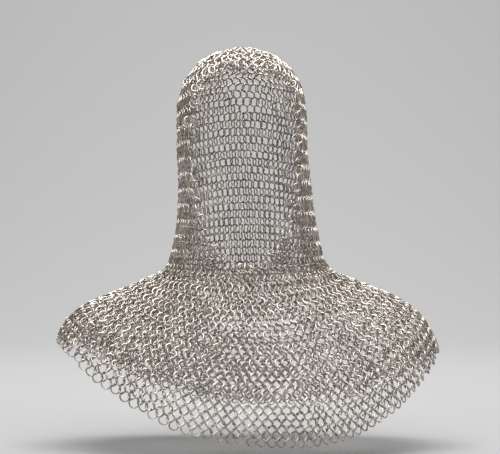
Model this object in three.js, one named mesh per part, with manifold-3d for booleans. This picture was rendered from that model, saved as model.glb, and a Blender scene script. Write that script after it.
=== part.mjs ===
// Chainmail coif: a close hood of linked steel rings with an open face, over a shoulder mantle.
// Millimetres, +Z up. The face looks along -Y, so the wearer's left is +X.
// The origin lies on the inside of the crown, where the top of the head holds the hood.
//
// The whole garment is one sheet of mail. Its middle surface is worked out from a few level
// sections, and each piece is a closed wall around a stretch of that surface.

import * as THREE from 'three';
import { mergeVertices } from 'three/addons/utils/BufferGeometryUtils.js';
import Module from 'manifold-3d';

const wasm = await Module();
wasm.setup();

// Driving dimensions
const MAIL_THICKNESS = 5;
const SEAM_GAP = 0.3;
const RING_OUTER_RADIUS = 6.6;
const COLUMNS_ROUND = 54;
const HEM_SAMPLES = 1440;
const SCALLOPS_PER_COLUMN = 2;
const STEPS_PER_SCALLOP = 4;

// Rows of rings, counted down from the crown
const CROWN_END = 11;
const HOOD_END = 29;
const NECK_END = 40;
const MANTLE_END = 63;
const HEM_RINGS = 64;

// Level sections of the middle surface, from the crown to the hem.
// row: the row of rings. halfWidth, front, back: how far the section reaches to each side, to the
// front and to the back. sideZ, frontZ, backZ: its height there. shift: how far its middle lies
// to +X. square: 2 is an ellipse and more is squarer. fall: how late the height changes between
// the front or back and the sides. lean: how much lower it lies for each millimetre to +X.
// skew: how far its lowest points lie to +X, as a share of its half width.
const SECTION_COLUMNS = [
  'row', 'halfWidth', 'front', 'back', 'sideZ', 'frontZ', 'backZ', 'shift', 'square', 'fall', 'lean',
  'skew',
];
const SECTIONS = table(SECTION_COLUMNS, [
  [0, 0, 0, 0, 2.5, 2.5, 2.5, -0.8, 2, 2, 0, 0],
  [1, 8.3, 8.8, 8.6, 2, 2.3, 2.3, -0.8, 2, 2, 0, 0],
  [3, 24, 26.4, 25.3, -2, 1.3, 1.8, -0.8, 2, 2, 0, 0],
  [6, 45.6, 52, 49.8, -12, -4, -4.2, -0.8, 2, 2, 0, 0],
  [8.5, 59.7, 70, 69, -26.5, -14, -12.8, -0.8, 2, 2, 0, 0],
  [11, 69.5, 84.5, 84, -44, -29, -26.5, -0.8, 2, 2, 0, 0],
  [14, 74.5, 93.5, 95.7, -68, -54, -48.6, -0.8, 2.05, 2, 0, 0],
  [20, 75.2, 98, 103, -116, -106, -98.4, 0, 2.1, 2, 0, 0],
  [26, 77, 95.5, 98.7, -165, -159, -148.5, 3.2, 2.1, 2, 0, 0],
  [31, 80.6, 88, 90.6, -204.5, -202, -189.5, 4.6, 2.1, 2, 0, 0],
  [35, 87, 74, 83.5, -236.5, -235.5, -223, 5.2, 2.05, 2, 0, 0],
  [38, 94.5, 66, 80.2, -259, -261, -248, 5.6, 2, 2, 0, 0],
  [40, 104.5, 70, 84.5, -266.3, -277, -262.5, 6, 2, 2, 0, 0],
  [43, 121.5, 81.5, 96.5, -273.5, -298.5, -282, 7.3, 2, 2.1, 0, 0],
  [47, 145, 95.5, 112, -283.5, -329, -309, 9.3, 2.1, 2.2, 0, 0],
  [52, 175, 109.5, 124, -295.5, -366, -344, 10, 2.2, 2.4, 0.01, 0.02],
  [57, 201, 120.5, 132.5, -312, -402.5, -379.5, 9.3, 2.3, 2.5, 0.03, 0.06],
  [61, 216, 127.5, 137.5, -330, -431, -407, 7.6, 2.3, 2.55, 0.043, 0.095],
  [64, 224, 131, 140, -345, -452.5, -428, 6, 2.3, 2.58, 0.04, 0.117],
]);

// Folds of the hanging mail. turn: degrees from the front towards +X. halfWidth: degrees.
// The fold starts at firstRow, is whole at fullRow and has gone at endRow.
// height: millimetres, outwards where it is positive.
const FOLDS = table(['turn', 'halfWidth', 'firstRow', 'fullRow', 'endRow', 'height'], [
  [2, 30, 35, 40, 49, -7],
  [-62, 26, 37, 43, 58, -6],
  [62, 24, 37, 43, 56, -5],
  [-27, 17, 44, 56, 80, 3],
  [8, 18, 46, 60, 80, 3],
  [34, 15, 44, 57, 80, -3],
  [96, 22, 46, 60, 80, 3],
  [-100, 24, 46, 60, 80, -3],
  [128, 20, 38, 48, 66, -5],
  [160, 18, 44, 56, 80, 4],
  [196, 20, 42, 54, 80, -4],
  [226, 20, 38, 47, 64, -5],
]);

// Opening for the face, seen from the front: its middle, its half width, and its reach up and
// down. The corner powers shape the round brow and the pointed chin.
const FACE = { x: 4, z: -139.4, halfWidth: 55.2, reach: 108.1, browPower: 3.8, chinPower: 2 };
const FACE_STEPS = 56;
const FACE_EDGE_WIDTH = 10;
const FACE_CUT_NEAR = 20;
const FACE_CUT_FAR = 160;

// Steps over which slopes of the sheet are taken, in radians and in rows, and the row next to the
// crown's middle where its slope is read.
const SLOPE_STEP = 0.02;
const FIRST_SLOPED_ROW = 0.2;
const MERGE_DISTANCE = 1e-4;

const RING_STEEL = { color: 0xb3aca4, roughness: 0.38, metalness: 0.9 };

// Makes one object from each row of numbers, with the columns' names.
function table(columns, rows) {
  return rows.map((row) => Object.fromEntries(columns.map((name, index) => [name, row[index]])));
}

function smoothStep(from, to, value) {
  return THREE.MathUtils.smoothstep(value, from, to);
}

// Slope of one column of the sections at one of their rows, from its neighbours.
function sectionSlope(index, name) {
  const before = SECTIONS[Math.max(index - 1, 0)];
  const after = SECTIONS[Math.min(index + 1, SECTIONS.length - 1)];
  return (after[name] - before[name]) / (after.row - before.row);
}

// The section at any row: a smooth curve through the table's rows.
function sectionAt(row) {
  let index = 0;
  while (index < SECTIONS.length - 2 && row > SECTIONS[index + 1].row) {
    index += 1;
  }
  const upper = SECTIONS[index];
  const lower = SECTIONS[index + 1];
  const span = lower.row - upper.row;
  const t = (row - upper.row) / span;
  const section = {};
  for (const name of SECTION_COLUMNS.slice(1)) {
    const between = upper[name] * (1 + 2 * t) * (1 - t) ** 2 + lower[name] * t * t * (3 - 2 * t);
    const upperPull = sectionSlope(index, name) * t * (1 - t) ** 2;
    const lowerPull = sectionSlope(index + 1, name) * t * t * (1 - t);
    section[name] = between + (upperPull - lowerPull) * span;
  }
  return section;
}

function signedPower(value, power) {
  return Math.sign(value) * Math.abs(value) ** power;
}

// Point of the sheet without its folds.
function smoothPoint(turn, row) {
  const section = sectionAt(row);
  const power = section.square;
  const reachOut = (Math.abs(Math.sin(turn)) ** power + Math.abs(Math.cos(turn)) ** power) ** (-1 / power);
  const across = Math.sin(turn) * reachOut;
  const along = Math.cos(turn) * reachOut;
  const middleZ = along > 0 ? section.frontZ : section.backZ;
  const reach = along > 0 ? section.front : section.back;
  const aside = Math.abs(across - section.skew * (1 - across * across));
  const height = middleZ + (section.sideZ - middleZ) * aside ** section.fall;
  const x = section.halfWidth * across;
  return new THREE.Vector3(section.shift + x, -reach * along, height - section.lean * x);
}

// Outward direction of a sheet given by a point function.
function outwardNormal(pointAt, turn, row) {
  const slopedRow = Math.max(row, FIRST_SLOPED_ROW);
  const down = pointAt(turn, slopedRow + SLOPE_STEP).sub(pointAt(turn, slopedRow - SLOPE_STEP));
  const round = pointAt(turn + SLOPE_STEP, slopedRow).sub(pointAt(turn - SLOPE_STEP, slopedRow));
  return down.cross(round).normalize();
}

function foldHeight(turn, row) {
  let height = 0;
  for (const fold of FOLDS) {
    const beyond = THREE.MathUtils.radToDeg(turn) - fold.turn;
    const away = THREE.MathUtils.euclideanModulo(beyond + 180, 360) - 180;
    const share = Math.abs(away) / fold.halfWidth;
    if (share < 1) {
      const grown = smoothStep(fold.firstRow, fold.fullRow, row);
      const faded = smoothStep(fold.fullRow, fold.endRow, row);
      height += fold.height * grown * (1 - faded) * Math.cos(share * Math.PI / 2) ** 2;
    }
  }
  return height;
}

// Point of the middle surface of the mail.
function sheetPoint(turn, row) {
  const point = smoothPoint(turn, row);
  const height = foldHeight(turn, row);
  return height === 0 ? point : point.addScaledVector(outwardNormal(smoothPoint, turn, row), height);
}

// Angles of the column lines, which are spaced evenly along the hem.
function hemSpacedTurns() {
  const lengths = [0];
  let previous = smoothPoint(0, HEM_RINGS);
  for (let index = 1; index <= HEM_SAMPLES; index += 1) {
    const point = smoothPoint(2 * Math.PI * index / HEM_SAMPLES, HEM_RINGS);
    lengths.push(lengths.at(-1) + point.distanceTo(previous));
    previous = point;
  }
  return Array.from({ length: COLUMNS_ROUND }, (unused, column) => {
    const wanted = lengths.at(-1) * (column + 0.5) / COLUMNS_ROUND;
    const after = lengths.findIndex((length) => length >= wanted);
    const share = (wanted - lengths[after - 1]) / (lengths[after] - lengths[after - 1]);
    return 2 * Math.PI * (after - 1 + share) / HEM_SAMPLES;
  });
}

const COLUMN_TURNS = hemSpacedTurns();

function columnTurn(column) {
  return COLUMN_TURNS[THREE.MathUtils.euclideanModulo(column, COLUMNS_ROUND)];
}

// Point on one face of the wall. nudgeRound and nudgeDown move it along the sheet.
function wallPoint(turn, row, side, nudgeRound = 0, nudgeDown = 0) {
  const point = sheetPoint(turn, row);
  if (nudgeRound !== 0) {
    const round = sheetPoint(turn + SLOPE_STEP, row).sub(sheetPoint(turn - SLOPE_STEP, row)).normalize();
    point.addScaledVector(round, nudgeRound);
  }
  if (nudgeDown !== 0) {
    const down = sheetPoint(turn, row + SLOPE_STEP).sub(sheetPoint(turn, row - SLOPE_STEP)).normalize();
    point.addScaledVector(down, nudgeDown);
  }
  const normal = row === 0 ? new THREE.Vector3(0, 0, 1) : outwardNormal(sheetPoint, turn, row);
  return point.addScaledVector(normal, side * MAIL_THICKNESS / 2);
}

// A closed wall from two matching grids of points, outer and inner, given row by row.
function wallFromGrids(outer, inner) {
  const positions = [];
  const triangles = [];
  const width = outer[0].length;
  const rowCount = outer.length;
  for (const grid of [outer, inner]) {
    for (const row of grid) {
      for (const point of row) {
        positions.push(point.x, point.y, point.z);
      }
    }
  }
  const at = (layer, row, column) => (layer * rowCount + row) * width + column;
  const quad = (a, b, c, d) => triangles.push(a, b, c, a, c, d);
  for (let row = 0; row < rowCount - 1; row += 1) {
    for (let column = 0; column < width - 1; column += 1) {
      quad(at(0, row, column), at(0, row + 1, column), at(0, row + 1, column + 1), at(0, row, column + 1));
      quad(at(1, row, column), at(1, row, column + 1), at(1, row + 1, column + 1), at(1, row + 1, column));
    }
    const end = width - 1;
    quad(at(0, row, 0), at(1, row, 0), at(1, row + 1, 0), at(0, row + 1, 0));
    quad(at(0, row, end), at(0, row + 1, end), at(1, row + 1, end), at(1, row, end));
  }
  const last = rowCount - 1;
  for (let column = 0; column < width - 1; column += 1) {
    quad(at(0, 0, column), at(0, 0, column + 1), at(1, 0, column + 1), at(1, 0, column));
    quad(at(0, last, column), at(1, last, column), at(1, last, column + 1), at(0, last, column + 1));
  }
  const geometry = new THREE.BufferGeometry();
  geometry.setAttribute('position', new THREE.Float32BufferAttribute(positions, 3));
  geometry.setIndex(triangles);
  return geometry;
}

// Wall over the rows and columns given. Its four edges stop half a seam gap short.
function panelWall(rows, firstColumn, lastColumn) {
  const half = SEAM_GAP / 2;
  const grid = (side) => rows.map((row, index) => {
    const nudgeDown = index === 0 ? half : index === rows.length - 1 ? -half : 0;
    const points = [];
    for (let column = firstColumn; column <= lastColumn; column += 1) {
      const nudgeRound = column === firstColumn ? half : column === lastColumn ? -half : 0;
      points.push(wallPoint(columnTurn(column), row, side, nudgeRound, nudgeDown));
    }
    return points;
  });
  return wallFromGrids(grid(1), grid(-1));
}

// Round cap of the crown. Its first row is one point on each face, at the top of the head.
function crownWall(rows) {
  const positions = [];
  const triangles = [];
  const rings = rows.slice(1);
  for (const side of [1, -1]) {
    positions.push(...wallPoint(0, 0, side).toArray());
    rings.forEach((row, index) => {
      const nudgeDown = index === rings.length - 1 ? -SEAM_GAP / 2 : 0;
      for (let column = 0; column < COLUMNS_ROUND; column += 1) {
        positions.push(...wallPoint(columnTurn(column), row, side, 0, nudgeDown).toArray());
      }
    });
  }
  const layerSize = 1 + rings.length * COLUMNS_ROUND;
  const at = (layer, ring, column) => layer * layerSize + 1 + ring * COLUMNS_ROUND + column % COLUMNS_ROUND;
  for (let column = 0; column < COLUMNS_ROUND; column += 1) {
    triangles.push(0, at(0, 0, column), at(0, 0, column + 1));
    triangles.push(layerSize, at(1, 0, column + 1), at(1, 0, column));
    for (let ring = 0; ring < rings.length - 1; ring += 1) {
      const [a, b] = [at(0, ring, column), at(0, ring, column + 1)];
      const [c, d] = [at(0, ring + 1, column), at(0, ring + 1, column + 1)];
      triangles.push(a, c, d, a, d, b);
      triangles.push(...[a, b, d, a, d, c].map((corner) => layerSize + corner));
    }
    const edge = rings.length - 1;
    const outerNear = at(0, edge, column);
    const outerFar = at(0, edge, column + 1);
    const innerNear = at(1, edge, column);
    const innerFar = at(1, edge, column + 1);
    triangles.push(outerNear, innerNear, innerFar, outerNear, innerFar, outerFar);
  }
  const geometry = new THREE.BufferGeometry();
  geometry.setAttribute('position', new THREE.Float32BufferAttribute(positions, 3));
  geometry.setIndex(triangles);
  return geometry;
}

// How far the last rings hang below their middles, at a place along one ring's stretch of hem.
function scallopDrop(share, ringPitch) {
  const sideways = (share - 0.5) * ringPitch;
  return Math.sqrt(RING_OUTER_RADIUS ** 2 - sideways ** 2);
}

// Wall of the last row of rings, scalloped along its lower edge. Its upper edge lies on the
// straight facets of the mantle above it.
function hemWall(firstColumn, lastColumn) {
  const half = SEAM_GAP / 2;
  const stepsPerColumn = SCALLOPS_PER_COLUMN * STEPS_PER_SCALLOP;
  const grid = (side) => {
    const upperEdge = [];
    const lowerEdge = [];
    for (let column = firstColumn; column < lastColumn; column += 1) {
      const corners = [column, column + 1].map((end) => {
        const nudge = end === firstColumn ? half : end === lastColumn ? -half : 0;
        const upper = wallPoint(columnTurn(end), MANTLE_END, side, nudge, half);
        const lower = wallPoint(columnTurn(end), HEM_RINGS, side, nudge, 0);
        return { upper, lower, down: lower.clone().sub(upper).normalize() };
      });
      const ringPitch = corners[0].lower.distanceTo(corners[1].lower) / SCALLOPS_PER_COLUMN;
      const lastStep = column === lastColumn - 1 ? stepsPerColumn : stepsPerColumn - 1;
      for (let step = 0; step <= lastStep; step += 1) {
        const share = step / stepsPerColumn;
        const drop = scallopDrop((share * SCALLOPS_PER_COLUMN) % 1, ringPitch);
        const down = corners[0].down.clone().lerp(corners[1].down, share);
        upperEdge.push(corners[0].upper.clone().lerp(corners[1].upper, share));
        lowerEdge.push(corners[0].lower.clone().lerp(corners[1].lower, share).addScaledVector(down, drop));
      }
    }
    return [upperEdge, lowerEdge];
  };
  return wallFromGrids(grid(1), grid(-1));
}

function toSolid(geometry) {
  const bare = geometry.clone();
  bare.deleteAttribute('normal');
  bare.deleteAttribute('uv');
  const merged = mergeVertices(bare, MERGE_DISTANCE);
  const vertProperties = new Float32Array(merged.attributes.position.array);
  const triVerts = new Uint32Array(merged.index.array);
  return new wasm.Manifold(new wasm.Mesh({ numProp: 3, vertProperties, triVerts }));
}

function toGeometry(solid) {
  const mesh = solid.getMesh();
  const geometry = new THREE.BufferGeometry();
  const positions = Float32Array.from(mesh.vertProperties);
  geometry.setAttribute('position', new THREE.Float32BufferAttribute(positions, 3));
  geometry.setIndex(Array.from(mesh.triVerts));
  return geometry;
}

// Cutter for the face: the outline of the opening, grown, and run from front to back through
// the front half of the hood alone.
function faceCutter(growth) {
  const outline = [];
  for (let step = 0; step < FACE_STEPS; step += 1) {
    const turn = 2 * Math.PI * step / FACE_STEPS;
    const power = Math.sin(turn) > 0 ? FACE.browPower : FACE.chinPower;
    const x = FACE.x + (FACE.halfWidth + growth) * signedPower(Math.cos(turn), 2 / power);
    const z = FACE.z + (FACE.reach + growth) * signedPower(Math.sin(turn), 2 / power);
    outline.push(new THREE.Vector2(x, z));
  }
  const depth = FACE_CUT_FAR - FACE_CUT_NEAR;
  const geometry = new THREE.ExtrudeGeometry(new THREE.Shape(outline), { depth, bevelEnabled: false });
  geometry.translate(0, 0, FACE_CUT_NEAR);
  geometry.rotateX(Math.PI / 2);
  return toSolid(geometry);
}

// Rows from one row to another, in steps of at most two rows.
function rowsBetween(first, last) {
  const steps = Math.ceil((last - first) / 2);
  return Array.from({ length: steps + 1 }, (unused, index) => first + (last - first) * index / steps);
}

const coif = new THREE.Group();

function addPiece(name, geometry) {
  geometry.computeVertexNormals();
  const piece = new THREE.Mesh(geometry, new THREE.MeshStandardMaterial(RING_STEEL));
  piece.name = name;
  coif.add(piece);
}

// Column lines of the seams: the front, the wearer's left, the back and the wearer's right.
const SIDES = {
  front: [-8, 7],
  left: [7, 19],
  back: [19, 34],
  right: [34, 46],
};
const HOOD_PIECES = { hood_left: [4, 19], hood_back: [19, 34], hood_right: [34, 49] };
const NECK_PIECES = {
  throat: SIDES.front,
  neck_left: SIDES.left,
  nape: SIDES.back,
  neck_right: SIDES.right,
};
const FACE_EDGE_COLUMNS = [-13, 12];
const FACE_EDGE_START = 8;

const faceHole = faceCutter(0);
const faceEdgeOuter = faceCutter(FACE_EDGE_WIDTH - SEAM_GAP);
const faceClearance = faceCutter(FACE_EDGE_WIDTH);

function clearOfFace(geometry) {
  return toGeometry(toSolid(geometry).subtract(faceClearance));
}

addPiece('crown', clearOfFace(crownWall([0, 1, 2.5, 4, 6, 8, 9.5, CROWN_END])));
for (const [name, [first, last]] of Object.entries(HOOD_PIECES)) {
  addPiece(name, clearOfFace(panelWall(rowsBetween(CROWN_END, HOOD_END), first, last)));
}

const edgeBand = panelWall(rowsBetween(FACE_EDGE_START, NECK_END), ...FACE_EDGE_COLUMNS);
addPiece('face_edge', toGeometry(toSolid(edgeBand).intersect(faceEdgeOuter).subtract(faceHole)));

for (const [name, [first, last]] of Object.entries(NECK_PIECES)) {
  addPiece(name, clearOfFace(panelWall(rowsBetween(HOOD_END, NECK_END), first, last)));
}
for (const [side, [first, last]] of Object.entries(SIDES)) {
  addPiece(`mantle_${side}`, panelWall(rowsBetween(NECK_END, MANTLE_END), first, last));
}
for (const [side, [first, last]] of Object.entries(SIDES)) {
  addPiece(`hem_${side}`, hemWall(first, last));
}

export default coif;
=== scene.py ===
import math

import bpy
import numpy as np
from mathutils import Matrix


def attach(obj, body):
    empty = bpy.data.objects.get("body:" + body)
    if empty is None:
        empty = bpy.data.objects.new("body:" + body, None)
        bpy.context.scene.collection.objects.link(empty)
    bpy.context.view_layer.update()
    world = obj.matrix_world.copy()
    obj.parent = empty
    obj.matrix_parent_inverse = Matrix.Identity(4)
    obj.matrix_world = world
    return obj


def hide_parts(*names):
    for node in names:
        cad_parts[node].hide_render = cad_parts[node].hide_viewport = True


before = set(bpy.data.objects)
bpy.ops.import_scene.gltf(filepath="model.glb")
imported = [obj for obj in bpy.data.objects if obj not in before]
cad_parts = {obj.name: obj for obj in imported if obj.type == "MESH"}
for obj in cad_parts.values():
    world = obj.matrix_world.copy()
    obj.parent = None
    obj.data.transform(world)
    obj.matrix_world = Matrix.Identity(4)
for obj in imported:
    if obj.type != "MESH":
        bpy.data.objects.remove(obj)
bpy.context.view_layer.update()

bl_info = {
    "name": "Chainmail Coif",
    "version": (1, 0, 0),
    "blender": (4, 5, 0),
    "location": "3D View > Sidebar > Coif",
    "description": "Builds a ring mail coif, ring by ring, over the solids of its pieces",
    "category": "Object",
}

MM = 0.001
SEED = 11

# The sheet of mail

# Level sections of the sheet's middle surface, in millimetres, from the crown to the hem.
# fall says how late the height changes between the front or back and the sides, lean how much
# lower the section lies for each millimetre to +X, and skew how far its lowest points lie to +X
# as a share of its half width.
SECTION_COLUMNS = (
    "row", "half_width", "front", "back", "side_z", "front_z", "back_z", "shift", "square", "fall", "lean",
    "skew",
)
SECTIONS = np.array([
    (0, 0, 0, 0, 2.5, 2.5, 2.5, -0.8, 2, 2, 0, 0),
    (1, 8.3, 8.8, 8.6, 2, 2.3, 2.3, -0.8, 2, 2, 0, 0),
    (3, 24, 26.4, 25.3, -2, 1.3, 1.8, -0.8, 2, 2, 0, 0),
    (6, 45.6, 52, 49.8, -12, -4, -4.2, -0.8, 2, 2, 0, 0),
    (8.5, 59.7, 70, 69, -26.5, -14, -12.8, -0.8, 2, 2, 0, 0),
    (11, 69.5, 84.5, 84, -44, -29, -26.5, -0.8, 2, 2, 0, 0),
    (14, 74.5, 93.5, 95.7, -68, -54, -48.6, -0.8, 2.05, 2, 0, 0),
    (20, 75.2, 98, 103, -116, -106, -98.4, 0, 2.1, 2, 0, 0),
    (26, 77, 95.5, 98.7, -165, -159, -148.5, 3.2, 2.1, 2, 0, 0),
    (31, 80.6, 88, 90.6, -204.5, -202, -189.5, 4.6, 2.1, 2, 0, 0),
    (35, 87, 74, 83.5, -236.5, -235.5, -223, 5.2, 2.05, 2, 0, 0),
    (38, 94.5, 66, 80.2, -259, -261, -248, 5.6, 2, 2, 0, 0),
    (40, 104.5, 70, 84.5, -266.3, -277, -262.5, 6, 2, 2, 0, 0),
    (43, 121.5, 81.5, 96.5, -273.5, -298.5, -282, 7.3, 2, 2.1, 0, 0),
    (47, 145, 95.5, 112, -283.5, -329, -309, 9.3, 2.1, 2.2, 0, 0),
    (52, 175, 109.5, 124, -295.5, -366, -344, 10, 2.2, 2.4, 0.01, 0.02),
    (57, 201, 120.5, 132.5, -312, -402.5, -379.5, 9.3, 2.3, 2.5, 0.03, 0.06),
    (61, 216, 127.5, 137.5, -330, -431, -407, 7.6, 2.3, 2.55, 0.043, 0.095),
    (64, 224, 131, 140, -345, -452.5, -428, 6, 2.3, 2.58, 0.04, 0.117),
])
HEM_SECTION = 64.0

# Folds of the hanging mail: the angle from the front towards +X and the half width, in degrees,
# the rows where it starts, is whole and has gone, and its height in millimetres.
FOLDS = (
    (2, 30, 35, 40, 49, -7),
    (-62, 26, 37, 43, 58, -6),
    (62, 24, 37, 43, 56, -5),
    (-27, 17, 44, 56, 80, 3),
    (8, 18, 46, 60, 80, 3),
    (34, 15, 44, 57, 80, -3),
    (96, 22, 46, 60, 80, 3),
    (-100, 24, 46, 60, 80, -3),
    (128, 20, 38, 48, 66, -5),
    (160, 18, 44, 56, 80, 4),
    (196, 20, 42, 54, 80, -4),
    (226, 20, 38, 47, 64, -5),
)
SLOPE_STEP = 0.02
FIRST_SLOPED_ROW = 0.2

# Opening for the face, seen from the front, in millimetres
FACE_X = 4.0
FACE_Z = -139.4
FACE_HALF_WIDTH = 55.2
FACE_REACH = 108.1
BROW_POWER = 3.8
CHIN_POWER = 2.0

# Seams between the pieces: rows, and shares of the way round from the front towards +X
CROWN_END = 11.0
HOOD_END = 29.0
NECK_END = 40.0
HEM_START = 63.2
FRONT_SEAM = 7.5 / 54
BACK_SEAM = 19.5 / 54


def section_slopes():
    """Slope of every column of the sections at each of their rows, from its neighbours."""
    slopes = np.empty_like(SECTIONS)
    last = len(SECTIONS) - 1
    for index in range(len(SECTIONS)):
        before = SECTIONS[max(index - 1, 0)]
        after = SECTIONS[min(index + 1, last)]
        slopes[index] = (after - before) / (after[0] - before[0])
    return slopes


SECTION_SLOPES = section_slopes()


def sections_at(row):
    """The section at each row given, as a dict of arrays: smooth curves through the table."""
    row = np.asarray(row, float)
    index = np.clip(np.searchsorted(SECTIONS[:, 0], row, side="right") - 1, 0, len(SECTIONS) - 2)
    upper, lower = SECTIONS[index], SECTIONS[index + 1]
    span = (lower[..., 0] - upper[..., 0])[..., None]
    t = (row[..., None] - upper[..., :1]) / span
    between = upper * (1 + 2 * t) * (1 - t) ** 2 + lower * t * t * (3 - 2 * t)
    pull = SECTION_SLOPES[index] * t * (1 - t) ** 2 - SECTION_SLOPES[index + 1] * t * t * (1 - t)
    values = between + pull * span
    return {name: values[..., column] for column, name in enumerate(SECTION_COLUMNS)}


def smooth_points(turn, row):
    """Points of the sheet without its folds, in millimetres."""
    section = sections_at(row)
    power = section["square"]
    reach_out = (np.abs(np.sin(turn)) ** power + np.abs(np.cos(turn)) ** power) ** (-1 / power)
    across = np.sin(turn) * reach_out
    along = np.cos(turn) * reach_out
    middle_z = np.where(along > 0, section["front_z"], section["back_z"])
    reach = np.where(along > 0, section["front"], section["back"])
    aside = np.abs(across - section["skew"] * (1 - across * across))
    height = middle_z + (section["side_z"] - middle_z) * aside ** section["fall"]
    x = section["half_width"] * across
    return np.stack([section["shift"] + x, -reach * along, height - section["lean"] * x], axis=-1)


def unit(vectors):
    return vectors / np.maximum(np.linalg.norm(vectors, axis=-1, keepdims=True), 1e-9)


def slopes_of(points_at, turn, row):
    """Steps down and round the sheet, for a row and for a radian."""
    row = np.maximum(row, FIRST_SLOPED_ROW)
    down = (points_at(turn, row + SLOPE_STEP) - points_at(turn, row - SLOPE_STEP)) / (2 * SLOPE_STEP)
    round_ = (points_at(turn + SLOPE_STEP, row) - points_at(turn - SLOPE_STEP, row)) / (2 * SLOPE_STEP)
    return down, round_


def smooth_step(low, high, value):
    t = np.clip((value - low) / (high - low), 0, 1)
    return t * t * (3 - 2 * t)


def fold_heights(turn, row):
    height = np.zeros(np.broadcast(turn, row).shape)
    for middle, half_width, first_row, full_row, end_row, fold_height in FOLDS:
        away = (np.degrees(turn) - middle + 180) % 360 - 180
        share = np.clip(np.abs(away) / half_width, 0, 1)
        fade = smooth_step(first_row, full_row, row) * (1 - smooth_step(full_row, end_row, row))
        height += fold_height * fade * np.cos(share * math.pi / 2) ** 2
    return height


def sheet_points(turn, row):
    """Points of the mail's middle surface, in millimetres."""
    turn, row = np.broadcast_arrays(np.asarray(turn, float), np.asarray(row, float))
    down, round_ = slopes_of(smooth_points, turn, row)
    normal = unit(np.cross(down, round_))
    return smooth_points(turn, row) + normal * fold_heights(turn, row)[..., None]


def outline_share(x, z, growth):
    """1 on the face outline grown by that many millimetres, less inside it and more outside."""
    power = np.where(z > FACE_Z, BROW_POWER, CHIN_POWER)
    across = np.abs((x - FACE_X) / (FACE_HALF_WIDTH + growth)) ** power
    up = np.abs((z - FACE_Z) / (FACE_REACH + growth)) ** power
    return (across + up) ** (1 / power)


# The weave

# How many rings go round at some rows of rings. The rows between are spread evenly.
RINGS_ROUND = (
    (0, 1), (1, 7), (2, 13), (4, 25), (6, 36), (8, 46), (9, 50), (10, 53), (11, 56), (12, 59), (13, 62),
    (14, 65), (18, 70), (24, 74), (35, 74), (38, 78), (41, 86), (45, 97), (50, 107), (55, 111), (60, 113),
)
# Rows of rings, and the rows of the sections where they lie. The hood hangs stretched, and below it
# the rows draw together.
LAST_ROW = 60
CROWN_ROWS = 11
HOOD_ROWS = 35
HOOD_SECTION = 38.0
DRAWN_TOGETHER = 0.09
GOLDEN_SHARE = 0.6180339887
TURN_SAMPLES = 720

# Evening out of the rows: how strongly a ring is drawn to those beside it and to those it links with
EVENING_ROUNDS = 300
BESIDE_PULL = 0.45
LINK_PULL = 0.55

# Where the mantle widens: from this share of the way round, over this span of it, at both shoulders
SHOULDER_START = 0.11
SHOULDER_SPAN = 0.32

# Half of a ring's share of its row, in millimetres
HALF_PITCH = 4.2

# Rings next to the face opening: how far from it the first ones lie, how far round it they are
# looked for, the largest steps of their move into line, and how it fades among the others
FACE_RING_GAP = 6.0
FACE_NEAR = 14.0
FACE_MIDDLE_ROW = 26.0
SIDE_EDGE = 0.85
FACE_LAST_ROW = 45.0
FACE_STEPS = 8
MOST_ROW_STEP = 0.5
MOST_TURN_STEP = 0.06
LEAST_AREA = 1e-3
EASING_ROUNDS = 12
EASING = 0.8

# How rings lean in the weave, in degrees and in millimetres between linked rings, how far those round
# the face turn to the front, and what share of the way to their neighbours the side ones are drawn
SLACK_TILT = 38.0
SLACK_SPAN = 9.0
PULLED_TILT = 9.0
TILT_RANGE = (27.0, 41.0)
SIDE_RING_TILT = 8.0
HEM_RING_TILT = 30.0
DISORDER = 4.5
EDGE_DISORDER = 7.0
RIM_DISORDER = 28.0
RING_SLIP = 0.25
SIDE_RING_TO_FRONT = 2.0
BROW_RING_TO_FRONT = 1.5
SIDE_RING_DRAWN = 0.35

# Rings as they are made, in millimetres
RING_INSIDE = 9.9
WIRE = 1.7
RING_RADIUS = (RING_INSIDE + WIRE) / 2

# Settling of the rings: how near others are looked for, how far apart the middles of two wires
# should be, what a wrong link costs, and what it costs more for each millimetre of a missing link's
# length over the span; what a move, a rise off the sheet or a turn costs; and how the tries shrink
NEAR = 14.0
NEIGHBOURS = 12
CLEARANCE = 2.0
WRONG_LINK = 9.0
LINK_SPAN = 8.0
DRAW_TOGETHER = 0.5
PULL_BACK = 0.04
PULL_FLAT = 0.4
PULL_UPRIGHT = 2.0
SETTLE_ROUNDS = 110
TRIES = 6
MOVING_SHARE = 0.5
MOVE_STEPS = (1.2, 0.08)
TURN_STEPS = (0.2, 0.02)
RING_SAMPLES = 36

# A direction that no ring's axis follows, and the way to the front
OFF_AXIS = (0.31, 0.52, 0.8)
FRONTWARD = (0, -1, 0)

# The butt of a ring: how far its ends rise apart in wire diameters, how dark it is, and over what
# share of the way round the dark line fades
BUTT_RISE = 0.2
BUTT_TONE = 0.15
BUTT_SHARE = 0.06
ROUGHNESS_SPREAD = (-0.05, 0.07)

# The stage, in metres
BACKDROP_SIZE = 12.0
BACKDROP_Y = -1.0
BACKDROP_RISE = 8.0
BACKDROP_BEND = 3.0
BEND_SEGMENTS = 24
BACKDROP_ROUGHNESS = 0.9
CAMERA_X = 0.009
CAMERA_Z = -0.209
SENSOR_WIDTH = 36
LENS = 144

# Name, place, aim, size and watts of each light
LIGHTS = (
    ("overhead", (0.0, -0.4, 1.5), (0, 0, -0.25), 2.0, 85),
    ("key", (1.5, -1.9, 1.0), (0, 0, -0.2), 1.6, 13),
    ("fill", (-1.6, -2.0, 0.9), (0, 0, -0.2), 1.6, 7),
    ("backdrop_light", (0.0, 1.6, 2.6), (0, 4.5, 0.2), 3.0, 190),
)


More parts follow.
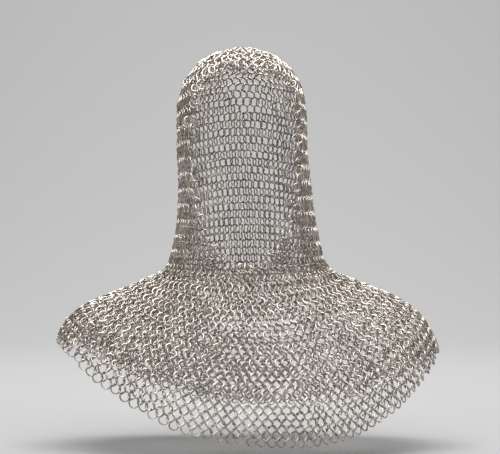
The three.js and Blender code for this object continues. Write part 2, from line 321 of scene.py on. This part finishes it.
def section_row(ring_row):
    """Where a row of rings lies among the sections."""
    hood = CROWN_END + (ring_row - CROWN_ROWS) * (HOOD_SECTION - CROWN_END) / (HOOD_ROWS - CROWN_ROWS)
    share = np.clip((ring_row - HOOD_ROWS) / (LAST_ROW - HOOD_ROWS), 0, None)
    eased = share * (1 + DRAWN_TOGETHER) - DRAWN_TOGETHER * share * share
    mantle = HOOD_SECTION + (HEM_SECTION - HOOD_SECTION) * eased
    return np.where(ring_row <= CROWN_ROWS, ring_row, np.where(ring_row <= HOOD_ROWS, hood, mantle))


def widening_place(row, spread):
    """Extra rings go anywhere round the crown, and over the shoulders in the mantle."""
    if row <= HOOD_ROWS:
        return spread
    shoulder = SHOULDER_START + SHOULDER_SPAN * ((spread * 2) % 1)
    return shoulder if spread < 0.5 else 1 - shoulder


def lay_rows():
    """Rows of rings from the crown down: a ring in each gap above, and extra ones that widen it.

    Gives each ring's row and share of the way round, and which rings link and lie side by side.
    """
    counts = np.round(np.interp(np.arange(LAST_ROW + 1), *np.array(RINGS_ROUND, float).T)).astype(int)
    rows, shares, links, beside = [0], [0.0], [], []
    above = []
    spread = 0.0
    for row in range(1, LAST_ROW + 1):
        extra = set()
        while above and len(extra) < counts[row] - len(above):
            spread = (spread + GOLDEN_SHARE) % 1
            extra.add(int(widening_place(row, spread) * len(above)) % len(above))
        here = []
        for index in range(len(above)):
            if index in extra:
                here.append(len(rows))
                rows.append(row)
                shares.append(shares[above[index]])
                links.append((above[index], here[-1], 0))
            following = (index + 1) % len(above)
            wrap = int(following == 0)
            here.append(len(rows))
            rows.append(row)
            shares.append((shares[above[index]] + shares[above[following]] + wrap) / 2)
            links.append((above[index], here[-1], 0))
            links.append((above[following], here[-1], -wrap))
        if not above:
            here = list(range(1, counts[row] + 1))
            rows += [row] * counts[row]
            shares += list((np.arange(counts[row]) + 0.5) / counts[row])
        beside += [(here[i], here[(i + 1) % len(here)], int(i + 1 == len(here))) for i in range(len(here))]
        above = here
    return np.array(rows), np.array(shares), np.array(links), np.array(beside)


def even_out(shares, links, beside):
    """Spaces the rings along their rows and centres each between those that it links with."""
    for _ in range(EVENING_ROUNDS):
        pull = np.zeros_like(shares)
        weight = np.zeros_like(shares)
        for pairs, strength in ((beside, BESIDE_PULL), (links, LINK_PULL)):
            first, second, wrap = pairs.T
            np.add.at(pull, first, strength * (shares[second] + wrap))
            np.add.at(pull, second, strength * (shares[first] - wrap))
            np.add.at(weight, first, strength)
            np.add.at(weight, second, strength)
        held = weight == 0
        shares = np.where(held, shares, pull / np.where(held, 1, weight))
    return shares


def turns_at(row, shares):
    """Angles that lie at these shares of the way round a section, counted from the front."""
    turn = np.linspace(0, 2 * math.pi, TURN_SAMPLES + 1)
    points = smooth_points(turn, np.full_like(turn, row))
    steps = np.linalg.norm(np.diff(points, axis=0), axis=1)
    lengths = np.concatenate([[0], np.cumsum(steps)]) / max(steps.sum(), 1e-9)
    whole = np.floor(shares)
    return np.interp(shares - whole, lengths, turn) + 2 * math.pi * whole


def way_from_opening(points):
    """How far points lie outside the line of the first rings round the face, and the way out."""
    x, z = points[:, 0], points[:, 2]
    slope_x = outline_share(x + 0.5, z, FACE_RING_GAP) - outline_share(x - 0.5, z, FACE_RING_GAP)
    slope_z = outline_share(x, z + 0.5, FACE_RING_GAP) - outline_share(x, z - 0.5, FACE_RING_GAP)
    steep = np.maximum(np.hypot(slope_x, slope_z), 1e-6)
    away = (outline_share(x, z, FACE_RING_GAP) - 1) / steep
    return away, slope_x / steep, slope_z / steep


def mean_of_neighbours(values, pairs):
    total = np.zeros_like(values)
    count = np.zeros(len(values))
    np.add.at(total, pairs[:, 0], values[pairs[:, 1]])
    np.add.at(total, pairs[:, 1], values[pairs[:, 0]])
    np.add.at(count, pairs.ravel(), 1)
    return total / np.maximum(count, 1).reshape(-1, *[1] * (values.ndim - 1))


def nearest_rings(points):
    """The nearest rings to each within reach, and which of these places in the table are filled."""
    others = np.zeros((len(points), NEIGHBOURS), int)
    gaps = np.zeros((len(points), NEIGHBOURS))
    for index, point in enumerate(points):
        gap = np.linalg.norm(points - point, axis=1)
        gap[index] = np.inf
        nearest = np.argpartition(gap, NEIGHBOURS)[:NEIGHBOURS]
        others[index], gaps[index] = nearest, gap[nearest]
    return others, gaps < NEAR


def strain(points, axes, other_points, other_axes, filled, linked):
    """How much wire the rings cut through and how many links they miss, summed for each ring."""
    first = unit(np.cross(axes, np.array(OFF_AXIS, np.float32)))
    second = np.cross(axes, first)
    angle = np.linspace(0, 2 * math.pi, RING_SAMPLES, endpoint=False, dtype=np.float32)
    cos, sin = RING_RADIUS * np.cos(angle), RING_RADIUS * np.sin(angle)
    gap = points[:, None] - other_points

    def along(vectors, of):
        return np.einsum("rkx,rx->rk", vectors, of)[..., None]

    height = np.einsum("rkx,rkx->rk", gap, other_axes)[..., None]
    height = height + along(other_axes, first) * cos + along(other_axes, second) * sin
    square = (gap * gap).sum(axis=2)[..., None] + RING_RADIUS ** 2
    square = square + 2 * (along(gap, first) * cos + along(gap, second) * sin)
    out = np.sqrt(np.maximum(square - height * height, 0))
    apart = np.sqrt(np.maximum(square - 2 * RING_RADIUS * out + RING_RADIUS ** 2, 0).min(axis=2))
    through = (np.signbit(height) != np.signbit(np.roll(height, -1, axis=2))) & (out < RING_RADIUS)
    wrong = (through.sum(axis=2) % 2 == 1) != linked
    stretch = np.maximum(np.sqrt((gap * gap).sum(axis=2)) - LINK_SPAN, 0) ** 2 * (wrong & linked)
    cost = np.maximum(CLEARANCE - apart, 0) ** 2 + WRONG_LINK * wrong + DRAW_TOGETHER * stretch
    return (cost * filled).sum(axis=1)


class Weave:
    """The rings of the coif: where each lies on the sheet, how it leans, and its piece."""

    def __init__(self):
        self.rows, shares, links, beside = lay_rows()
        shares = even_out(shares, links, beside)
        self.shares = shares % 1
        self.row = section_row(self.rows)
        self.turn = np.zeros_like(shares)
        for ring_row in range(1, LAST_ROW + 1):
            here = self.rows == ring_row
            self.turn[here] = turns_at(float(section_row(ring_row)), shares[here])
        crown_links = [(0, ring, 0) for ring in np.flatnonzero(self.rows == 1)]
        self.links, self.beside = np.concatenate([links, crown_links])[:, :2], beside[:, :2]
        self.random = np.random.default_rng(SEED)
        self.open_face()
        self.lean()
        self.settle()
        self.spin()

    def open_face(self):
        """Leaves out the rings in the face opening and draws the ones round it into line."""
        points = sheet_points(self.turn, self.row)
        away, out_x, _ = way_from_opening(points)
        near = (points[:, 1] < 0) & (self.row < FACE_LAST_ROW) & (away < FACE_NEAR)
        _, round_ = slopes_of(sheet_points, self.turn, self.row)
        seen = np.hypot(round_[:, 0], round_[:, 2]) / np.maximum(np.linalg.norm(round_, axis=1), 1e-9)
        half_pitch = HALF_PITCH * seen
        set_back = half_pitch * (self.rows % 2) * np.abs(out_x)
        kept = ~near | (away > set_back - half_pitch)

        whole = kept[self.links].all(axis=1)
        beside_whole = kept[self.beside].all(axis=1)
        count = len(kept)
        above = np.bincount(self.links[whole, 1], minlength=count)
        below = np.bincount(self.links[whole, 0], minlength=count)
        at_side = np.bincount(self.beside[beside_whole].ravel(), minlength=count)
        edge = kept & near & ((at_side < 2) | (above == 0) | (below == 0))
        self.rim = edge & (above == 0) & (self.row > FACE_MIDDLE_ROW)
        side_end = edge & (at_side < 2) & (np.abs(out_x) > SIDE_EDGE)

        pairs = np.concatenate([self.links[whole], self.beside[beside_whole]])
        target = np.where(side_end, set_back, 0)
        turn, row = self.turn.copy(), self.row.copy()
        for _ in range(FACE_STEPS):
            points = sheet_points(turn, row)
            away, out_x, out_z = way_from_opening(points)
            down, round_ = slopes_of(sheet_points, turn, row)
            step = np.where(edge, target - away, 0)
            area = down[:, 0] * round_[:, 2] - down[:, 2] * round_[:, 0]
            area = np.where(np.abs(area) < LEAST_AREA, np.inf, area)
            row_step = step * (out_x * round_[:, 2] - out_z * round_[:, 0]) / area
            turn_step = step * (out_z * down[:, 0] - out_x * down[:, 2]) / area
            row += np.clip(row_step, -MOST_ROW_STEP, MOST_ROW_STEP)
            turn += np.clip(turn_step, -MOST_TURN_STEP, MOST_TURN_STEP)
        moved = np.stack([turn - self.turn, row - self.row], axis=1)
        fixed = moved.copy()
        for _ in range(EASING_ROUNDS):
            moved = np.where(edge[:, None], fixed, EASING * mean_of_neighbours(moved, pairs))
        self.turn = self.turn + moved[:, 0]
        self.row = self.row + moved[:, 1]
        self.edge = edge
        self.facing = side_end & (self.rows % 2 == 0)
        self.brow = edge & ~side_end & (self.row < FACE_MIDDLE_ROW)

        points = sheet_points(self.turn, self.row)
        links = self.links[whole]
        spans = np.linalg.norm(points[links[:, 0]] - points[links[:, 1]], axis=1)
        total = np.bincount(links.ravel(), np.repeat(spans, 2), minlength=count)
        self.span = total / np.maximum(np.bincount(links.ravel(), minlength=count), 1)
        for name in ("rows", "shares", "row", "turn", "edge", "facing", "brow", "rim", "span"):
            setattr(self, name, getattr(self, name)[kept])
        self.links = (np.cumsum(kept) - 1)[links]

    def lean(self):
        """Leans each row of rings the other way from the next, with a little disorder.

        The further a ring is pulled from those that it links with, the flatter it lies.
        """
        random = self.random
        count = len(self.rows)
        self.points = sheet_points(self.turn, self.row)
        down, round_ = slopes_of(sheet_points, self.turn, self.row)
        down = unit(down)
        self.normal = normal = unit(np.cross(down, round_))
        to_front = np.where(self.facing, SIDE_RING_TO_FRONT, np.where(self.brow, BROW_RING_TO_FRONT, 0))
        normal = unit(normal + to_front[:, None] * np.array(FRONTWARD))
        round_ = unit(np.cross(normal, down))
        side = np.where(self.rows % 2 == 0, 1.0, -1.0)
        tilt = np.clip(SLACK_TILT - PULLED_TILT * (self.span - SLACK_SPAN), *TILT_RANGE)
        hem = self.rows == LAST_ROW
        tilt = np.where(self.facing, SIDE_RING_TILT, np.where(hem, HEM_RING_TILT, tilt))
        loose = np.where(self.rim, RIM_DISORDER, np.where(self.edge | hem, EDGE_DISORDER, DISORDER))
        tilt = np.radians(tilt + random.normal(0, 1, count) * loose)
        nod = np.radians(random.normal(0, 1, count) * loose)
        axis = (
            np.cos(tilt)[:, None] * normal
            + (side * np.sin(tilt))[:, None] * round_
            + np.sin(nod)[:, None] * down
        )
        self.axis = unit(axis)
        self.points = self.points + random.normal(0, RING_SLIP, (count, 3))
        towards = mean_of_neighbours(self.points, self.links) - self.points
        self.points += np.where(self.facing, SIDE_RING_DRAWN, 0)[:, None] * towards

    def settle(self):
        """Moves and turns the rings a little, until they link as they should and clear each other."""
        others, filled = nearest_rings(self.points)
        wanted = {tuple(pair) for pair in np.concatenate([self.links, self.links[:, ::-1]])}
        linked = np.array([[(ring, other) in wanted for other in row] for ring, row in enumerate(others)])
        points, axes = self.points.astype(np.float32), self.axis.astype(np.float32)
        start, start_axes = points.copy(), axes.copy()
        normals = self.normal.astype(np.float32)
        for share in np.linspace(0, 1, SETTLE_ROUNDS):
            moving = np.flatnonzero(self.random.uniform(0, 1, len(points)) < MOVING_SHARE)
            near = others[moving]
            best = np.full(len(moving), np.inf)
            best_points, best_axes = points[moving], axes[moving]
            for attempt in range(TRIES):
                size = 0 if attempt == 0 else 1
                move, turn = (size * a * (b / a) ** share for a, b in (MOVE_STEPS, TURN_STEPS))
                tried = points[moving] + move * self.random.normal(0, 1, (len(moving), 3)).astype(np.float32)
                turned = axes[moving] + turn * self.random.normal(0, 1, (len(moving), 3)).astype(np.float32)
                turned = unit(turned).astype(np.float32)
                cost = strain(tried, turned, points[near], axes[near], filled[moving], linked[moving])
                moved = tried - start[moving]
                cost += PULL_BACK * (moved * moved).sum(axis=1)
                cost += PULL_FLAT * (moved * normals[moving]).sum(axis=1) ** 2
                cost += PULL_UPRIGHT * (1 - (turned * start_axes[moving]).sum(axis=1))
                better = cost < best
                best[better] = cost[better]
                best_points[better], best_axes[better] = tried[better], turned[better]
            points[moving], axes[moving] = best_points, best_axes
        self.points, self.axis = points.astype(float), unit(axes.astype(float))

    def spin(self):
        """Turns each ring round in its own plane, so that the butts lie anywhere, and gives it a tone."""
        upright = unit(np.cross(self.axis, np.array(OFF_AXIS)))
        side = np.cross(self.axis, upright)
        spin = self.random.uniform(0, 2 * math.pi, len(self.rows))[:, None]
        self.first = np.cos(spin) * upright + np.sin(spin) * side
        self.second = np.cross(self.axis, self.first)
        self.tone = self.random.uniform(0, 1, len(self.rows))

    def rings_of(self, node):
        """Which rings belong to a piece of the coif, by the name of its node."""
        if node == "face_edge":
            return self.edge
        seams = (0, FRONT_SEAM, BACK_SEAM, 1 - BACK_SEAM, 1 - FRONT_SEAM, 1)
        part = np.searchsorted(seams, self.shares, side="right") - 1
        front, left, back, right = (part == 0) | (part == 4), part == 1, part == 2, part == 3
        level = np.searchsorted((CROWN_END, HOOD_END, NECK_END, HEM_START), self.row)
        crown, hood, neck, mantle, hem = (level == index for index in range(5))
        ahead_left = self.shares < BACK_SEAM
        where = {
            "crown": crown,
            "hood_left": hood & ahead_left,
            "hood_back": hood & back,
            "hood_right": hood & ~ahead_left & ~back,
            "throat": neck & front,
            "neck_left": neck & left,
            "nape": neck & back,
            "neck_right": neck & right,
            "mantle_front": mantle & front,
            "mantle_left": mantle & left,
            "mantle_back": mantle & back,
            "mantle_right": mantle & right,
            "hem_front": hem & front,
            "hem_left": hem & left,
            "hem_back": hem & back,
            "hem_right": hem & right,
        }[node]
        return where & ~self.edge


made_weave = []


def weave():
    """The weave, worked out once."""
    if not made_weave:
        made_weave.append(Weave())
    return made_weave[0]


# Rings

def deselect():
    bpy.ops.object.select_all(action="DESELECT")


def model_ring(settings):
    """One butted ring of wire in its own plane, in metres, as arrays of its corners and faces."""
    deselect()
    bpy.ops.mesh.primitive_circle_add(
        vertices=settings.wire_sides,
        radius=settings.wire_diameter / 2,
        fill_type="NGON",
        location=(settings.inner_diameter / 2 + settings.wire_diameter / 2, 0, 0),
        rotation=(math.pi / 2, 0, 0),
    )
    bpy.ops.object.transform_apply(location=True, rotation=True, scale=True)
    ring = bpy.context.object
    bpy.ops.object.mode_set(mode="EDIT")
    bpy.ops.mesh.select_all(action="SELECT")
    bpy.ops.mesh.spin(
        steps=settings.ring_steps,
        angle=2 * math.pi - settings.butt_gap / (settings.inner_diameter / 2),
        center=(0, 0, 0),
        axis=(0, 0, 1),
    )
    bpy.ops.mesh.select_all(action="SELECT")
    bpy.ops.mesh.normals_make_consistent(inside=False)
    bpy.ops.object.mode_set(mode="OBJECT")
    mesh = ring.data
    corners = np.array([v.co for v in mesh.vertices])
    angle = np.arctan2(corners[:, 1], corners[:, 0]) % (2 * math.pi)
    corners[:, 2] += settings.wire_diameter * BUTT_RISE * (angle / math.pi - 1)
    # The spin gives its faces in an order that changes from run to run
    faces = []
    for polygon in mesh.polygons:
        face = list(polygon.vertices)
        start = face.index(min(face))
        faces.append(face[start:] + face[:start])
    faces.sort()
    bpy.data.objects.remove(ring, do_unlink=True)
    bpy.data.meshes.remove(mesh)
    return corners, angle, faces


def wire_steel(settings):
    """Drawn steel wire: bright steel grey with a warm tint that is a painted reflection of warm
    surroundings, and a dark line where the ring is butted.
    """
    name = "ring steel"
    if name in bpy.data.materials:
        return bpy.data.materials[name]
    material = bpy.data.materials.new(name)
    material.use_nodes = True
    nodes, links = material.node_tree.nodes, material.node_tree.links
    shader = nodes["Principled BSDF"]
    shader.inputs["Metallic"].default_value = 1.0
    tone = nodes.new("ShaderNodeAttribute")
    tone.attribute_name = "tone"
    around = nodes.new("ShaderNodeAttribute")
    around.attribute_name = "around"
    shade = nodes.new("ShaderNodeMix")
    shade.data_type = "RGBA"
    shade.inputs[6].default_value = (*settings.dark_steel, 1)
    shade.inputs[7].default_value = (*settings.bright_steel, 1)
    links.new(tone.outputs["Fac"], shade.inputs[0])
    seam = nodes.new("ShaderNodeMapRange")
    seam.inputs["From Min"].default_value = 0.0
    seam.inputs["From Max"].default_value = BUTT_SHARE
    seam.inputs["To Min"].default_value = BUTT_TONE
    seam.inputs["To Max"].default_value = 1.0
    links.new(around.outputs["Fac"], seam.inputs["Value"])
    darken = nodes.new("ShaderNodeVectorMath")
    darken.operation = "SCALE"
    links.new(shade.outputs[2], darken.inputs[0])
    links.new(seam.outputs["Result"], darken.inputs["Scale"])
    links.new(darken.outputs[0], shader.inputs["Base Color"])
    rough = nodes.new("ShaderNodeMapRange")
    rough.inputs["To Min"].default_value = settings.roughness + ROUGHNESS_SPREAD[0]
    rough.inputs["To Max"].default_value = settings.roughness + ROUGHNESS_SPREAD[1]
    links.new(tone.outputs["Fac"], rough.inputs["Value"])
    links.new(rough.outputs["Result"], shader.inputs["Roughness"])
    return material


def weave_piece(node):
    """The linked rings of one piece of the coif, as one mesh in place of its solid."""
    settings = bpy.context.scene.coif_rings
    finish = bpy.context.scene.coif_finish
    mail = weave()
    chosen = np.flatnonzero(mail.rings_of(node))
    if len(chosen) == 0:
        raise RuntimeError(f"no rings in {node}")
    corners, angle, faces = model_ring(settings)
    frames = np.stack([mail.first[chosen], mail.second[chosen], mail.axis[chosen]], axis=1)
    points = np.einsum("vk,rkx->rvx", corners, frames) + mail.points[chosen][:, None] * MM
    ring_count, corner_count = len(chosen), len(corners)
    loops = np.concatenate([np.array(f) for f in faces])
    sizes = np.array([len(f) for f in faces])
    starts = np.concatenate([[0], np.cumsum(sizes)[:-1]])
    offsets = np.arange(ring_count)

    mesh = bpy.data.meshes.new(f"{node}_rings")
    mesh.vertices.add(ring_count * corner_count)
    mesh.vertices.foreach_set("co", points.astype(np.float32).ravel())
    mesh.loops.add(ring_count * len(loops))
    mesh.loops.foreach_set(
        "vertex_index", (loops[None] + offsets[:, None] * corner_count).astype(np.int32).ravel()
    )
    mesh.polygons.add(ring_count * len(sizes))
    mesh.polygons.foreach_set(
        "loop_start", (starts[None] + offsets[:, None] * len(loops)).astype(np.int32).ravel()
    )
    mesh.polygons.foreach_set("use_smooth", np.ones(ring_count * len(sizes), bool))
    around = np.minimum(angle, 2 * math.pi - angle) / math.pi
    for name, values in (
        ("around", np.tile(around, ring_count)),
        ("tone", np.repeat(mail.tone[chosen], corner_count)),
    ):
        layer = mesh.attributes.new(name, "FLOAT", "POINT")
        layer.data.foreach_set("value", values.astype(np.float32))
    mesh.update(calc_edges=True)
    if mesh.validate():
        raise RuntimeError(f"the mesh of {node} had faults")
    mesh.materials.append(wire_steel(finish))

    piece = bpy.data.objects.new(f"{node}_rings", mesh)
    bpy.context.scene.collection.objects.link(piece)
    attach(piece, "root")
    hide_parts(node)
    return piece


class CoifRings(bpy.types.PropertyGroup):
    """Sizes of the wire rings."""

    inner_diameter: bpy.props.FloatProperty(
        name="Inner diameter", description="Width inside a ring", default=RING_INSIDE * MM, unit="LENGTH"
    )
    wire_diameter: bpy.props.FloatProperty(
        name="Wire diameter", description="Thickness of the wire", default=WIRE * MM, unit="LENGTH"
    )
    butt_gap: bpy.props.FloatProperty(
        name="Butt gap", description="Gap between the two ends of a ring", default=0.0002, unit="LENGTH"
    )
    wire_sides: bpy.props.IntProperty(
        name="Wire sides", description="Faces round the wire", default=5
    )
    ring_steps: bpy.props.IntProperty(
        name="Ring steps", description="Faces along a ring", default=14
    )
    row_pitch: bpy.props.FloatProperty(
        name="Row pitch", description="From row to row in flat mail", default=0.0075, unit="LENGTH"
    )
    column_pitch: bpy.props.FloatProperty(
        name="Column pitch", description="From ring to ring along a row of flat mail", default=0.0092,
        unit="LENGTH",
    )


class CoifFinish(bpy.types.PropertyGroup):
    """Colours and polish of the steel."""

    # Both steel colours carry a warm tint, which is a painted reflection of warm surroundings; the spread
    # between them is a tone that differs at random from ring to ring.
    bright_steel: bpy.props.FloatVectorProperty(
        name="Bright steel", description="Colour of the brightest rings", subtype="COLOR",
        default=(0.74, 0.68, 0.62),
    )
    dark_steel: bpy.props.FloatVectorProperty(
        name="Dark steel", description="Colour of the darkest rings", subtype="COLOR",
        default=(0.36, 0.32, 0.28),
    )
    roughness: bpy.props.FloatProperty(
        name="Roughness", description="Middle roughness of the wire", default=0.42
    )


class CoifStage(bpy.types.PropertyGroup):
    """The backdrop, the lights and the camera."""

    backdrop_color: bpy.props.FloatVectorProperty(
        name="Backdrop", description="Colour of the floor and backdrop", subtype="COLOR",
        default=(0.3, 0.3, 0.3),
    )
    floor_height: bpy.props.FloatProperty(
        name="Floor height", description="Height of the floor", default=-0.472, unit="LENGTH"
    )
    camera_distance: bpy.props.FloatProperty(
        name="Camera distance", description="From the crown to the camera", default=2.4, unit="LENGTH"
    )
    world_light: bpy.props.FloatProperty(
        name="World light", description="Strength of the light from all round", default=0.1
    )


class COIF_OT_crown(bpy.types.Operator):
    """Weaves the cap over the top of the head"""

    bl_idname = "coif.crown"
    bl_label = "Crown"

    def execute(self, context):
        weave_piece("crown")
        return {"FINISHED"}


class COIF_OT_hood(bpy.types.Operator):
    """Weaves the walls of the hood at both sides and at the back"""

    bl_idname = "coif.hood"
    bl_label = "Hood"

    def execute(self, context):
        for node in ("hood_left", "hood_back", "hood_right"):
            weave_piece(node)
        return {"FINISHED"}


class COIF_OT_face_edge(bpy.types.Operator):
    """Weaves the run of rings round the face opening"""

    bl_idname = "coif.face_edge"
    bl_label = "Face edge"

    def execute(self, context):
        weave_piece("face_edge")
        return {"FINISHED"}


class COIF_OT_neck(bpy.types.Operator):
    """Weaves the throat, the nape and the sides of the neck"""

    bl_idname = "coif.neck"
    bl_label = "Neck"

    def execute(self, context):
        for node in ("throat", "neck_left", "nape", "neck_right"):
            weave_piece(node)
        return {"FINISHED"}


class COIF_OT_mantle(bpy.types.Operator):
    """Weaves the four stretches of the shoulder mantle"""

    bl_idname = "coif.mantle"
    bl_label = "Mantle"

    def execute(self, context):
        for node in ("mantle_front", "mantle_left", "mantle_back", "mantle_right"):
            weave_piece(node)
        return {"FINISHED"}


class COIF_OT_hem(bpy.types.Operator):
    """Weaves the last row of rings round the hem"""

    bl_idname = "coif.hem"
    bl_label = "Hem"

    def execute(self, context):
        for node in ("hem_front", "hem_left", "hem_back", "hem_right"):
            weave_piece(node)
        return {"FINISHED"}


def area_light(name, location, target, size, watts):
    deselect()
    bpy.ops.object.light_add(type="AREA", location=location)
    light = bpy.context.object
    light.name = name
    light.data.size = size
    light.data.energy = watts
    aim = np.array(target) - np.array(location)
    distance = float(np.linalg.norm(aim))
    light.rotation_euler = (
        math.acos(-aim[2] / distance),
        0,
        math.atan2(aim[1], aim[0]) - math.pi / 2,
    )
    return light


class COIF_OT_stage(bpy.types.Operator):
    """Adds the backdrop, the lights and the camera"""

    bl_idname = "coif.stage"
    bl_label = "Stage"

    def execute(self, context):
        settings = context.scene.coif_stage
        deselect()
        bpy.ops.mesh.primitive_plane_add(
            size=BACKDROP_SIZE, location=(0, BACKDROP_Y, settings.floor_height)
        )
        backdrop = context.object
        backdrop.name = "backdrop"
        bpy.ops.object.transform_apply(location=True, rotation=False, scale=False)
        bpy.ops.object.mode_set(mode="EDIT")
        bpy.ops.mesh.select_mode(type="VERT")
        bpy.ops.mesh.select_all(action="DESELECT")
        bpy.ops.object.mode_set(mode="OBJECT")
        for vertex in backdrop.data.vertices:
            vertex.select = vertex.co.y > 0
        bpy.ops.object.mode_set(mode="EDIT")
        bpy.ops.mesh.extrude_region_move(TRANSFORM_OT_translate={"value": (0, 0, BACKDROP_RISE)})
        bpy.ops.object.mode_set(mode="OBJECT")
        for vertex in backdrop.data.vertices:
            vertex.select = vertex.co.y > 0 and vertex.co.z < settings.floor_height + 1
        bpy.ops.object.mode_set(mode="EDIT")
        bpy.ops.mesh.bevel(offset=BACKDROP_BEND, segments=BEND_SEGMENTS, affect="EDGES")
        bpy.ops.object.mode_set(mode="OBJECT")
        bpy.ops.object.shade_smooth()
        paint = bpy.data.materials.new("backdrop")
        paint.use_nodes = True
        shader = paint.node_tree.nodes["Principled BSDF"]
        shader.inputs["Base Color"].default_value = (*settings.backdrop_color, 1)
        shader.inputs["Roughness"].default_value = BACKDROP_ROUGHNESS
        backdrop.data.materials.append(paint)

        lights = [area_light(*light) for light in LIGHTS]

        world = bpy.data.worlds.new("soft room")
        world.use_nodes = True
        world.node_tree.nodes["Background"].inputs["Color"].default_value = (1, 1, 1, 1)
        world.node_tree.nodes["Background"].inputs["Strength"].default_value = settings.world_light
        context.scene.world = world

        bpy.ops.object.camera_add(
            location=(CAMERA_X, -settings.camera_distance, CAMERA_Z), rotation=(math.pi / 2, 0, 0)
        )
        camera = context.object
        camera.data.sensor_width = SENSOR_WIDTH
        camera.data.lens = LENS
        camera.data.dof.use_dof = False
        context.scene.camera = camera
        context.scene.view_settings.view_transform = "Standard"
        return {"FINISHED"}


class COIF_PT_panel(bpy.types.Panel):
    """Buttons for each part of the coif"""

    bl_idname = "COIF_PT_panel"
    bl_label = "Chainmail Coif"
    bl_space_type = "VIEW_3D"
    bl_region_type = "UI"
    bl_category = "Coif"

    def draw(self, context):
        scene = context.scene
        for group in (scene.coif_rings, scene.coif_finish, scene.coif_stage):
            column = self.layout.column(align=True)
            for name in group.__annotations__:
                column.prop(group, name)
        for operator in OPERATORS:
            self.layout.operator(operator.bl_idname)


GROUPS = {"coif_rings": CoifRings, "coif_finish": CoifFinish, "coif_stage": CoifStage}
OPERATORS = (
    COIF_OT_crown, COIF_OT_hood, COIF_OT_face_edge, COIF_OT_neck, COIF_OT_mantle, COIF_OT_hem, COIF_OT_stage,
)


def register():
    for name, group in GROUPS.items():
        bpy.utils.register_class(group)
        setattr(bpy.types.Scene, name, bpy.props.PointerProperty(type=group))
    for operator in OPERATORS:
        bpy.utils.register_class(operator)
    bpy.utils.register_class(COIF_PT_panel)


def unregister():
    bpy.utils.unregister_class(COIF_PT_panel)
    for operator in reversed(OPERATORS):
        bpy.utils.unregister_class(operator)
    for name, group in reversed(GROUPS.items()):
        delattr(bpy.types.Scene, name)
        bpy.utils.unregister_class(group)


def main():
    register()
    bpy.ops.coif.crown()
    bpy.ops.coif.hood()
    bpy.ops.coif.face_edge()
    bpy.ops.coif.neck()
    bpy.ops.coif.mantle()
    bpy.ops.coif.hem()
    bpy.ops.coif.stage()


if __name__ == "__main__":
    main()
